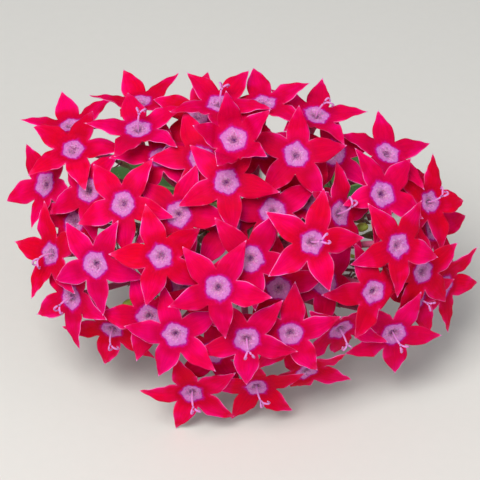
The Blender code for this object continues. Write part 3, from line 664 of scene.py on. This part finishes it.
def petalMaterial():
    # Soft velvet petal: deep crimson that a painted sheen and a painted highlight lighten to pink at its
    # edges, with a dusty lavender eye that is painted dark in its middle as shade
    look, colours = petalLook, petalLook["colours"]
    made, tree, shader, spot = newMaterial("living_petal_velvet")
    radius, edge, part, petalLuck, floretLuck, _ = readMarks(tree)
    # Hairs make the border of the eye ragged, at about a third of a millimetre
    ragged = addNode(tree, "TexNoise", {"Scale": 2.6 / mm, "Detail": 3.0}, {"Vector": spot})
    patchy = addNode(tree, "TexNoise", {"Scale": 0.6 / mm, "Detail": 2.0}, {"Vector": spot})
    reach = radius
    for share, source in ((0.5, ragged), (1.3, patchy), (0.4, floretLuck)):
        reach = addNode(tree, "Math", {"operation": "MULTIPLY_ADD", 1: share}, {0: source, 2: reach})
    reach = addNode(tree, "MapRange", {"From Min": 1.0, "From Max": 12.5}, {"Value": reach})
    # Broad flushes of pink lie over the crimson, and faint lengthwise streaks follow each petal
    flush = addNode(tree, "TexNoise", {"Scale": 0.2 / mm, "Detail": 2.0}, {"Vector": spot})
    marks = addNode(tree, "CombineXYZ", links={0: radius, 1: edge, 2: petalLuck})
    drawnOut = addNode(tree, "VectorMath", {"operation": "MULTIPLY", 1: (0.3, 5.0, 31.0)}, {0: marks})
    streaks = addNode(tree, "TexNoise", {"Scale": 1.0, "Detail": 4.0, "Roughness": 0.6}, {"Vector": drawnOut})
    # What each share or tone is read from, the reading at its start and end, and its start and end
    spans = {
        "fleck": (ragged, 0.48, 0.66, 0.0, 0.4),
        "inEye": (reach, 0.2, 0.16, 0.0, 1.0),
        "flush": (flush, 0.44, 0.66, 0.0, 0.7),
        "farOut": (radius, 3.4, 5.5, 0.0, 1.0),
        "streak": (streaks, 0.3, 0.72, 0.86, 1.06),
        "petal": (petalLuck, 0.0, 1.0, 0.88, 1.08),
        "hue": (floretLuck, 0.0, 1.0, 0.493, 0.503),
        # The next five shares place the painted sheen and the painted highlight along the petal edges and at
        # the tip
        "paintedEdgeFar": (radius, 4.0, 9.0, 0.25, 1.0),
        "paintedEdgePatch": (flush, 0.46, 0.58, 0.06, 1.0),
        "paintedSheen": (edge, 0.6, 0.98, 0.0, 0.85),
        "line": (edge, 0.93, 0.995, 0.0, 1.0),
        "paintedTipHighlight": (radius, 10.45, 10.95, 0.0, 0.9),
        "downTube": (part, 1.0, 2.0, 0.0, 1.0),
        "rough": (streaks, 0.0, 1.0, 0.5, 0.72),
    }
    found = {}
    for name, (source, *ends) in spans.items():
        settings = dict(zip(("From Min", "From Max", "To Min", "To Max"), ends))
        found[name] = addNode(tree, "MapRange", settings, {"Value": source})
    pairs = (("fleck", "fleck", "inEye"), ("flush", "flush", "farOut"), ("tone", "streak", "petal"),
             ("rim", "paintedEdgeFar", "paintedEdgePatch"), ("paintedSheen", "paintedSheen", "rim"), ("line", "line", "rim"))
    for name, one, two in pairs:
        found[name] = addNode(tree, "Math", {"operation": "MULTIPLY"}, {0: found[one], 1: found[two]})
    # The painted highlight is the pale edge line or the pale tip, whichever is stronger
    found["rim"] = addNode(tree, "Math", {"operation": "MAXIMUM"}, {0: found["line"], 1: found["paintedTipHighlight"]})
    # The ramp starts with painted shade where the tube opens and runs out to the tip; the eye has paler
    # flecks, and each petal and floret differs a little from the next
    whole = addNode(tree, "ValToRGB", links={"Fac": reach})
    setRamp(whole, [(place, colours[name]) for name, place in look["eyeStops"]])
    for name in ("fleck", "flush"):
        whole = addNode(tree, "Mix", {"data_type": "RGBA", 7: colours[name]}, {0: found[name], 6: whole})
    shift = {"Color": whole, "Hue": found["hue"], "Value": found["tone"]}
    whole = addNode(tree, "HueSaturation", links=shift)
    # A painted sheen turns the edge pink and a painted highlight draws a thin pale line on it, in patches and
    # most of all towards the tip
    for name in ("paintedSheen", "rim"):
        whole = addNode(tree, "Mix", {"data_type": "RGBA", 7: colours[name]}, {0: found[name], 6: whole})
    # part tells the upper side, the underside, the tube, the hairs and the style apart
    lower = addNode(tree, "ValToRGB", links={"Fac": found["downTube"]})
    setRamp(lower, [(place, colours[name]) for name, place in look["lowerStops"]])
    whole = addNode(tree, "Mix", {"data_type": "RGBA"}, {0: part, 6: whole, 7: lower})
    hairs = {"data_type": "RGBA", 6: colours["hairDark"], 7: colours["hairPale"]}
    threads = addNode(tree, "Mix", hairs, {0: petalLuck})
    isStyle = addNode(tree, "Math", {"operation": "GREATER_THAN", 1: 3.5}, {0: part})
    threads = addNode(tree, "Mix", {"data_type": "RGBA", 7: colours["style"]}, {0: isStyle, 6: threads})
    isThread = addNode(tree, "Math", {"operation": "GREATER_THAN", 1: 2.5}, {0: part})
    whole = addNode(tree, "Mix", {"data_type": "RGBA"}, {0: isThread, 6: whole, 7: threads})
    # Petal cells, about a seventh of a millimetre, give the velvet its dull sparkle
    cells = addNode(tree, "TexVoronoi", {"Scale": 7.0 / mm}, {"Vector": spot})
    grain = addNode(tree, "Math", {"operation": "MULTIPLY_ADD", 1: 0.6}, {0: cells, 2: streaks})
    bump = addNode(tree, "Bump", {"Strength": 0.35, "Distance": 0.05 * mm}, {"Height": grain})
    setNode(tree, shader, {
        "Sheen Weight": 0.08,
        "Sheen Roughness": 0.4,
        "Sheen Tint": colours["sheen"],
        "Specular IOR Level": 0.03,
        "Subsurface Weight": 0.3,
        "Subsurface Radius": (1.0, 0.12, 0.3),
        "Subsurface Scale": 0.5 * mm,
    }, {"Base Color": whole, "Normal": bump, "Roughness": found["rough"]})
    return made


petalVelvet = petalMaterial()
for number, floret in enumerate(florets, 1):
    draw = random.Random(1000 + number)
    shell = Shell()
    tint = buildCorolla(floret, shell, draw)
    addHairs(shell, draw, tint)
    if floret["style"] is not None:
        addStyle(shell, floret["style"], draw, tint)
    piece = newPiece("corolla_%02d" % number, shell, petalVelvet, floret["place"])
    triangles = finishPiece(piece, floret["name"])
print("corollas built:", len(florets), "triangles each about", triangles)


# The stem, stalks and buds are the solid made finer, with new sepals on each ovary and fine hairs
stemLook = {
    "voxel": 0.29,
    "weld": 0.01,
    "smoothing": 6,
    "smoothShare": 0.5,
    "sepalZone": 2.6,
    "ovaryRadius": 1.25,
    "drawnInTo": 0.95,
    "drawnDown": 0.75,
    "calyxReach": 4.2,
    "calyxFade": 1.4,
    "budFromSeats": 4.0,
    "budFromFork": 22.0,
    "budForward": 14.0,
    "seatGap": 0.6,
    "sepalRows": 7,
    "sepalRoot": 0.7,
    "sepalBelow": 0.35,
    "sepalLength": 1.9,
    "sepalLengthLuck": (0.82, 1.1),
    "sepalHalfWidth": 0.48,
    "sepalRise": 0.55,
    "sepalRiseLuck": (0.3, 1.5),
    "sepalUpturn": 1.6,
    "sepalSway": 0.2,
    "sepalThickness": 0.11,
    "sepalSection": ((-1.0, 1.12), (0.0, 0.85), (1.0, 1.12), (0.0, -1.6)),
    "hairs": 3800,
    "hairLength": (0.25, 0.6),
    "calyxHairShare": 0.7,
    "hairLean": 0.5,
    "hairRadius": 0.022,
    "hairSunk": 0.03,
    "hairOverFloor": 0.05,
    "colours": {
        "stalk": "#86404E", "green": "#5C7440", "calyx": "#6F8648", "calyxTip": "#86384C",
        "bud": "#A4C44E", "hair": "#B49C88",
    },
}
seats = [(f["seat"], f["axis"]) for f in florets]
seatTree = treeOf([seat for seat, _ in seats])


def drawnInSepals(mesh):
    # The solids' plain sepals give way to the fine ones
    look = stemLook
    for v in mesh.vertices:
        point = v.co / mm
        _, i, far = seatTree.find(point)
        seat, axis = seats[i]
        height = (point - seat).dot(axis)
        radial = point - seat - axis * height
        if far < look["sepalZone"] and radial.length > look["ovaryRadius"]:
            v.co = (seat + axis * (height - look["drawnDown"]) + radial.normalized() * look["drawnInTo"]) * mm


def remeshedStem():
    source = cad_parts["stem"]
    mesh = source.data.copy()
    mesh.materials.clear()
    drawnInSepals(mesh)
    rough = addObject("stem_rough", mesh)
    rough.matrix_world = source.matrix_world.copy()
    weld = rough.modifiers.new("weld", "WELD")
    weld.merge_threshold = stemLook["weld"] * mm
    remesh = rough.modifiers.new("remesh", "REMESH")
    remesh.mode = "VOXEL"
    remesh.voxel_size = stemLook["voxel"] * mm
    relax = rough.modifiers.new("relax", "SMOOTH")
    relax.factor = stemLook["smoothShare"]
    relax.iterations = stemLook["smoothing"]
    graph = bpy.context.evaluated_depsgraph_get()
    fine = bpy.data.meshes.new_from_object(rough.evaluated_get(graph))
    world = rough.matrix_world.copy()
    bpy.data.objects.remove(rough)
    verts = [world @ v.co / mm for v in fine.vertices]
    normals = [world.to_3x3() @ v.normal for v in fine.vertices]
    faces = [tuple(p.vertices) for p in fine.polygons]
    bpy.data.meshes.remove(fine)
    return verts, normals, faces


def addSepal(shell, seat, axis, out, draw):
    # A narrow pointed blade that curves out and up from the rim of the ovary
    look = stemLook
    side = axis.cross(out)
    length = look["sepalLength"] * draw.uniform(*look["sepalLengthLuck"])
    rise = look["sepalRise"] * draw.uniform(*look["sepalRiseLuck"])
    sway = draw.uniform(-look["sepalSway"], look["sepalSway"])
    base = seat - axis * (look["seatGap"] + look["sepalBelow"])
    previous = None
    for i in range(look["sepalRows"]):
        t = i / look["sepalRows"]
        belly = 0.75 + 0.5 * math.sin(math.pi * min(1.0, t * 1.3))
        width = look["sepalHalfWidth"] * (1.0 - t ** 1.8) * belly
        centre = base + out * (look["sepalRoot"] + length * t) + axis * rise * t * t * look["sepalUpturn"]
        centre += side * sway * t * t
        thick = look["sepalThickness"] * (1.0 - 0.6 * t)
        crest = axis * thick - out * thick * 0.3
        ring = []
        for across, lift in look["sepalSection"]:
            point = centre + side * width * across + crest * lift
            ring.append(shell.add(point, (0.0, abs(across), 1.0), (draw.random(), 0.0, 0.0)))
        if previous:
            shell.band(previous, ring, True)
        else:
            shell.faces.append(tuple(reversed(ring)))
        previous = ring
    end = base + out * (look["sepalRoot"] + length) + axis * rise * look["sepalUpturn"] + side * sway
    tip = shell.add(end, (0.0, 1.0, 1.0), (draw.random(), 0.0, 0.0))
    for c in range(len(previous)):
        shell.faces.append((previous[c], previous[(c + 1) % len(previous)], tip))


def buildStem():
    # place holds the share of calyx in its second value and the part in its third: 1 sepals, 2 hairs.
    # The third value of chance marks the buds.
    look = stemLook
    verts, normals, faces = remeshedStem()
    shell = Shell()
    draw = random.Random(77)
    kept = []
    for point, normal in zip(verts, normals):
        far = seatTree.find(point)[2]
        calyx = max(0.0, min(1.0, (look["calyxReach"] - far) / look["calyxFade"]))
        isFront = (point - fork).dot(headTurn @ up) > look["budForward"]
        isBud = far > look["budFromSeats"] and (point - fork).length > look["budFromFork"] and isFront
        shell.add(point, (0.0, calyx, 0.0), (0.5, 0.0, 1.0 if isBud else 0.0))
        kept.append((point, normal, calyx))
    shell.faces += faces
    for seat, axis in seats:
        reference = axis.orthogonal().normalized()
        other = axis.cross(reference)
        start = draw.uniform(0.0, 2.0 * math.pi)
        for k in range(solid["petals"]):
            angle = start + petalStep * k
            addSepal(shell, seat, axis, reference * math.cos(angle) + other * math.sin(angle), draw)
    for point, normal, calyx in draw.sample(kept, min(len(kept), look["hairs"])):
        length = draw.uniform(*look["hairLength"]) * (look["calyxHairShare"] if calyx > 0.3 else 1.0)
        lean = Vector([draw.uniform(-look["hairLean"], look["hairLean"]) for _ in range(3)])
        end = point + (normal + lean * 0.6).normalized() * length
        if end.z < look["hairOverFloor"]:
            continue
        line = [point - normal * look["hairSunk"], (point + end) * 0.5 + lean * 0.03, end]
        radii = [look["hairRadius"], look["hairRadius"] * 0.7]
        addThread(shell, line, radii, (0.0, calyx, 2.0), (draw.random(), 0.0, 0.0))
    return shell


def stemMaterial():
    # Young stem skin: matt, finely hairy, green below and flushed maroon towards the flowers
    colours = stemLook["colours"]
    made, tree, shader, spot = newMaterial("living_stem_skin_matt")
    _, calyxShare, part, _, _, budShare = readMarks(tree)
    blotch = addNode(tree, "TexNoise", {"Scale": 0.25 / mm, "Detail": 4.0}, {"Vector": spot})
    fibre = addNode(tree, "TexNoise", {"Scale": 2.0 / mm, "Detail": 3.0}, {"Vector": spot})
    patch = addNode(tree, "MapRange", {"From Min": 0.35, "From Max": 0.68}, {"Value": blotch})
    skin, calyx = (addNode(tree, "Mix", {"data_type": "RGBA", 6: colours[one], 7: colours[two]}, {0: patch})
                   for one, two in (("stalk", "green"), ("calyxTip", "calyx")))
    whole = addNode(tree, "Mix", {"data_type": "RGBA"}, {0: calyxShare, 6: skin, 7: calyx})
    isHair = addNode(tree, "Math", {"operation": "GREATER_THAN", 1: 1.5}, {0: part})
    for name, share in (("bud", budShare), ("hair", isHair)):
        whole = addNode(tree, "Mix", {"data_type": "RGBA", 7: colours[name]}, {0: share, 6: whole})
    tone = addNode(tree, "MapRange", {"To Min": 0.8, "To Max": 1.15}, {"Value": fibre})
    whole = addNode(tree, "HueSaturation", links={"Color": whole, "Value": tone})
    bump = addNode(tree, "Bump", {"Strength": 0.4, "Distance": 0.08 * mm}, {"Height": fibre})
    rough = addNode(tree, "MapRange", {"To Min": 0.5, "To Max": 0.75}, {"Value": fibre})
    setNode(tree, shader, {
        "Subsurface Weight": 0.1,
        "Subsurface Radius": (0.6, 0.8, 0.3),
        "Subsurface Scale": 0.5 * mm,
    }, {"Base Color": whole, "Normal": bump, "Roughness": rough})
    return made


shell = buildStem()
piece = newPiece("stem_with_calyces_and_buds", shell, stemMaterial())
print("stem triangles:", finishPiece(piece, "stem"))


# The leaves: a pair with sunken veins and waved edges, each over its plain solid
leafLook = {
    "rows": 72,
    "columns": 28,
    "length": 44.0,
    "halfWidth": 8.5,
    "tipHalfWidth": 0.06,
    "thickness": 0.24,
    "edgeThinning": 0.5,
    "arch": 7.0,
    "archSlip": 0.3,
    "crease": 0.28,
    "wave": 0.9,
    "waveFrom": 0.5,
    "turn": math.radians(18.0),
    "stations": 8,
    "petiole": 0.8,
    "petioleShare": 0.13,
    "veinPairs": 9,
    "veinCrowd": 1.15,
    "veinSlant": 1.35,
    "veinHalf": 0.11,
    "veinDepth": 0.28,
    "ribHalf": 0.55,
    "ribKeel": 0.5,
    "puff": 0.22,
    "reliefWidth": 3.0,
    "overFloor": 0.02,
    "stemRadius": 1.7,
    "stemSides": 8,
    "stemReach": 46.0,
    "stemBend": (0.35, 0.5),
    "stemSway": 3.0,
    "stemPoints": 8,
    "node": 6,
    "nodeSwell": 1.25,
    "gap": 0.3,
    "colours": {
        "blade": "#3F6B2A", "deep": "#2C5220", "vein": "#86A45C", "under": "#7F9F63", "petiole": "#8A7A4A",
    },
}


def leafRoot(side):
    # Where the pair of leaves leaves the stem: a point of the curve that the solid stem follows
    look = leafLook
    rest = look["stemRadius"] * math.cos(math.pi / look["stemSides"])
    heading = Vector((0.0, level, -rise))
    landing = Vector((fork.x + look["stemSway"], fork.y + look["stemReach"], rest))
    leave, arrive = (look["stemReach"] * share for share in look["stemBend"])
    t = look["node"] / look["stemPoints"]
    u = 1.0 - t
    node = fork * u ** 3 + (fork + heading * leave) * 3 * u * u * t
    node += (landing - Vector((0.0, arrive, 0.0))) * 3 * u * t * t + landing * t ** 3
    return node + Vector((side * (look["stemRadius"] * look["nodeSwell"] + look["gap"]), 0.0, 0.0))


def leafHalfWidth(t):
    look = leafLook
    if t < look["petioleShare"]:
        return look["petiole"]
    if t >= 1.0:
        return look["tipHalfWidth"]
    s = (t - look["petioleShare"]) / (1.0 - look["petioleShare"])
    blade = look["halfWidth"] * math.sin(math.pi * s ** 0.8) ** 0.85
    return max(look["petiole"] * (1.0 - 0.5 * s), blade)


def buildLeaf(name, side, material):
    # place holds the way from root to tip and the share of vein; chance tells the underside
    look = leafLook
    root = leafRoot(side)
    ahead = Vector((math.cos(look["turn"]) * side, math.sin(look["turn"]), 0.0))
    across = Vector((-ahead.y, ahead.x, 0.0))
    rows, columns = look["rows"], look["columns"]
    shell = Shell()
    tops, lows = [], []
    for i in range(rows + 1):
        t = i / rows
        width = leafHalfWidth(t)
        height = root.z * (1.0 - t) ** 2 + look["arch"] * 4.0 * t * (1.0 - t) * (1.0 - look["archSlip"] * t)
        middle = Vector((root.x, root.y, 0.0)) + ahead * look["length"] * t + up * height
        wave = -look["wave"] * math.cos(math.pi * look["stations"] * t) * math.sin(math.pi * t)
        full = min(1.0, width / look["reliefWidth"])
        topRow, lowRow = [], []
        for j in range(columns + 1):
            w = -1.0 + 2.0 * j / columns
            waved = max(0.0, (abs(w) - look["waveFrom"]) / (1.0 - look["waveFrom"])) ** 1.5
            # Side veins run forward from the midrib and sink into the upper side
            forward = abs(w) * width / look["halfWidth"] * look["veinSlant"]
            vein = (t * look["veinPairs"] * look["veinCrowd"] - forward) % 1.0
            groove = math.exp(-(((vein if vein < 0.5 else vein - 1.0) / look["veinHalf"]) ** 2))
            groove *= full * (1.0 - abs(w) ** 4)
            rib = math.exp(-((w * width / look["ribHalf"]) ** 2))
            puff = look["puff"] * math.sin(math.pi * vein) * full * (1.0 - w * w)
            relief = -look["veinDepth"] * max(groove, rib) + puff
            thin = look["thickness"] * (1.0 - look["edgeThinning"] * abs(w) ** 3)
            mark = (t, 0.0, max(groove * 0.8, rib))
            point = middle + across * width * w + up * (abs(w) * look["crease"] * width + wave * waved)
            topRow.append(shell.add(point + up * (thin + relief), mark, (0.0, 0.0, 0.0)))
            point += up * (relief - thin - look["ribKeel"] * rib * min(1.0, width))
            point.z = max(point.z, look["overFloor"])
            lowRow.append(shell.add(point, mark, (1.0, 0.0, 0.0)))
        tops.append(topRow)
        lows.append(lowRow)
    for i in range(rows):
        shell.band(tops[i], tops[i + 1])
        shell.band(lows[i + 1], lows[i])
    shell.band([r[0] for r in tops], [r[0] for r in lows])
    shell.band([r[-1] for r in lows], [r[-1] for r in tops])
    shell.band(lows[0], tops[0])
    shell.band(tops[-1], lows[-1])
    piece = newPiece(name, shell, material)
    shape = bmesh.new()
    shape.from_mesh(piece.data)
    bmesh.ops.recalc_face_normals(shape, faces=shape.faces)
    shape.to_mesh(piece.data)
    shape.free()
    return piece


def leafMaterial():
    # Satin leaf: mid green with paler sunken veins and a soft skin gloss
    colours = leafLook["colours"]
    made, tree, shader, spot = newMaterial("living_leaf_satin")
    along, _, vein, underside, _, _ = readMarks(tree)
    mottle = addNode(tree, "TexNoise", {"Scale": 0.35 / mm, "Detail": 6, "Roughness": 0.6}, {"Vector": spot})
    veined = addNode(tree, "MapRange", {"From Min": 0.45, "From Max": 1.0, "To Max": 0.8}, {"Value": vein})
    stalked = addNode(tree, "MapRange", {"From Min": 0.2, "From Max": 0.08}, {"Value": along})
    whole = addNode(tree, "Mix", {"data_type": "RGBA", 6: colours["deep"], 7: colours["blade"]}, {0: mottle})
    for name, share in (("vein", veined), ("under", underside), ("petiole", stalked)):
        whole = addNode(tree, "Mix", {"data_type": "RGBA", 7: colours[name]}, {0: share, 6: whole})
    cells = addNode(tree, "TexVoronoi", {"Scale": 2.2 / mm}, {"Vector": spot})
    bump = addNode(tree, "Bump", {"Strength": 0.3, "Distance": 0.1 * mm}, {"Height": cells})
    rough = addNode(tree, "MapRange", {"To Min": 0.36, "To Max": 0.56}, {"Value": mottle})
    setNode(tree, shader, {
        "Subsurface Weight": 0.1,
        "Subsurface Radius": (0.4, 1.0, 0.2),
        "Subsurface Scale": 0.6 * mm,
    }, {"Base Color": whole, "Normal": bump, "Roughness": rough})
    return made


leafSatin = leafMaterial()
for name, side in (("leaf_left", -1.0), ("leaf_right", 1.0)):
    piece = buildLeaf("ribbed_" + name, side, leafSatin)
    print(name, "triangles:", finishPiece(piece, name))


# The stage: a pale board, two soft lamps, an even sky and a camera square on the flower's face,
# in millimetres, but for the lamps, which are in metres
stageLook = {
    "floor": "#DAD9D5",
    "floorHalf": 3000.0,
    "sky": "#F2F4F8",
    "skyStrength": 0.36,
    "lamps": {
        "key": {"spot": (-0.18, -0.28, 0.55), "size": 0.4, "power": 4.4, "colour": "#FFFDF9"},
        "fill": {"spot": (0.5, -0.35, 0.25), "size": 0.6, "power": 1.0, "colour": "#F9FDFF"},
    },
    "sensor": 36.0,
    "viewAcross": 98.2,
    "acrossAt": 400.0,
    "viewDistance": 378.0,
    "viewAside": 0.8,
}


def floorMaterial():
    # Matt pale board: an even ground with a trace of grain
    made, tree, shader, spot = newMaterial("pale_board_matt")
    grain = addNode(tree, "TexNoise", {"Scale": 0.4 / mm, "Detail": 3.0}, {"Vector": spot})
    tone = addNode(tree, "MapRange", {"To Min": 0.97, "To Max": 1.0}, {"Value": grain})
    toned = addNode(tree, "HueSaturation", {"Color": stageLook["floor"]}, {"Value": tone})
    setNode(tree, shader, {"Roughness": 0.85}, {"Base Color": toned})
    return made


def addLamp(name, look, aim):
    lamp = bpy.data.lights.new(name, "AREA")
    lamp.shape = "DISK"
    lamp.size = look["size"]
    lamp.energy = look["power"]
    lamp.color = linear(look["colour"])[:3]
    thing = addObject(name, lamp)
    thing.location = aim + Vector(look["spot"])
    thing.rotation_euler = (aim - thing.location).to_track_quat("-Z", "Y").to_euler()


scene = bpy.context.scene
half = stageLook["floorHalf"] * mm
floorMesh = bpy.data.meshes.new("floor")
corners = [(-half, -half, 0), (half, -half, 0), (half, half, 0), (-half, half, 0)]
floorMesh.from_pydata(corners, [], [(0, 1, 2, 3)])
floorMesh.materials.append(floorMaterial())
floor = addObject("floor", floorMesh)

world = bpy.data.worlds.new("soft_studio")
world.use_nodes = True
sky = {"Color": stageLook["sky"], "Strength": stageLook["skyStrength"]}
setNode(world.node_tree, world.node_tree.nodes["Background"], sky, None)
scene.world = world
for name, look in stageLook["lamps"].items():
    addLamp(name, look, headMiddle * mm)

camera = bpy.data.cameras.new("camera")
camera.sensor_width = stageLook["sensor"]
camera.lens = stageLook["sensor"] * stageLook["acrossAt"] / stageLook["viewAcross"]
camera.clip_start = 0.01
view = addObject("camera", camera)
place = headTurn.to_4x4()
aside = Vector((stageLook["viewAside"], 0.0, stageLook["viewDistance"]))
place.translation = (headMiddle + headTurn @ aside) * mm
view.matrix_world = place
scene.camera = view
scene.view_settings.view_transform = "Standard"
scene.view_settings.look = "None"

bpy.context.view_layer.update()
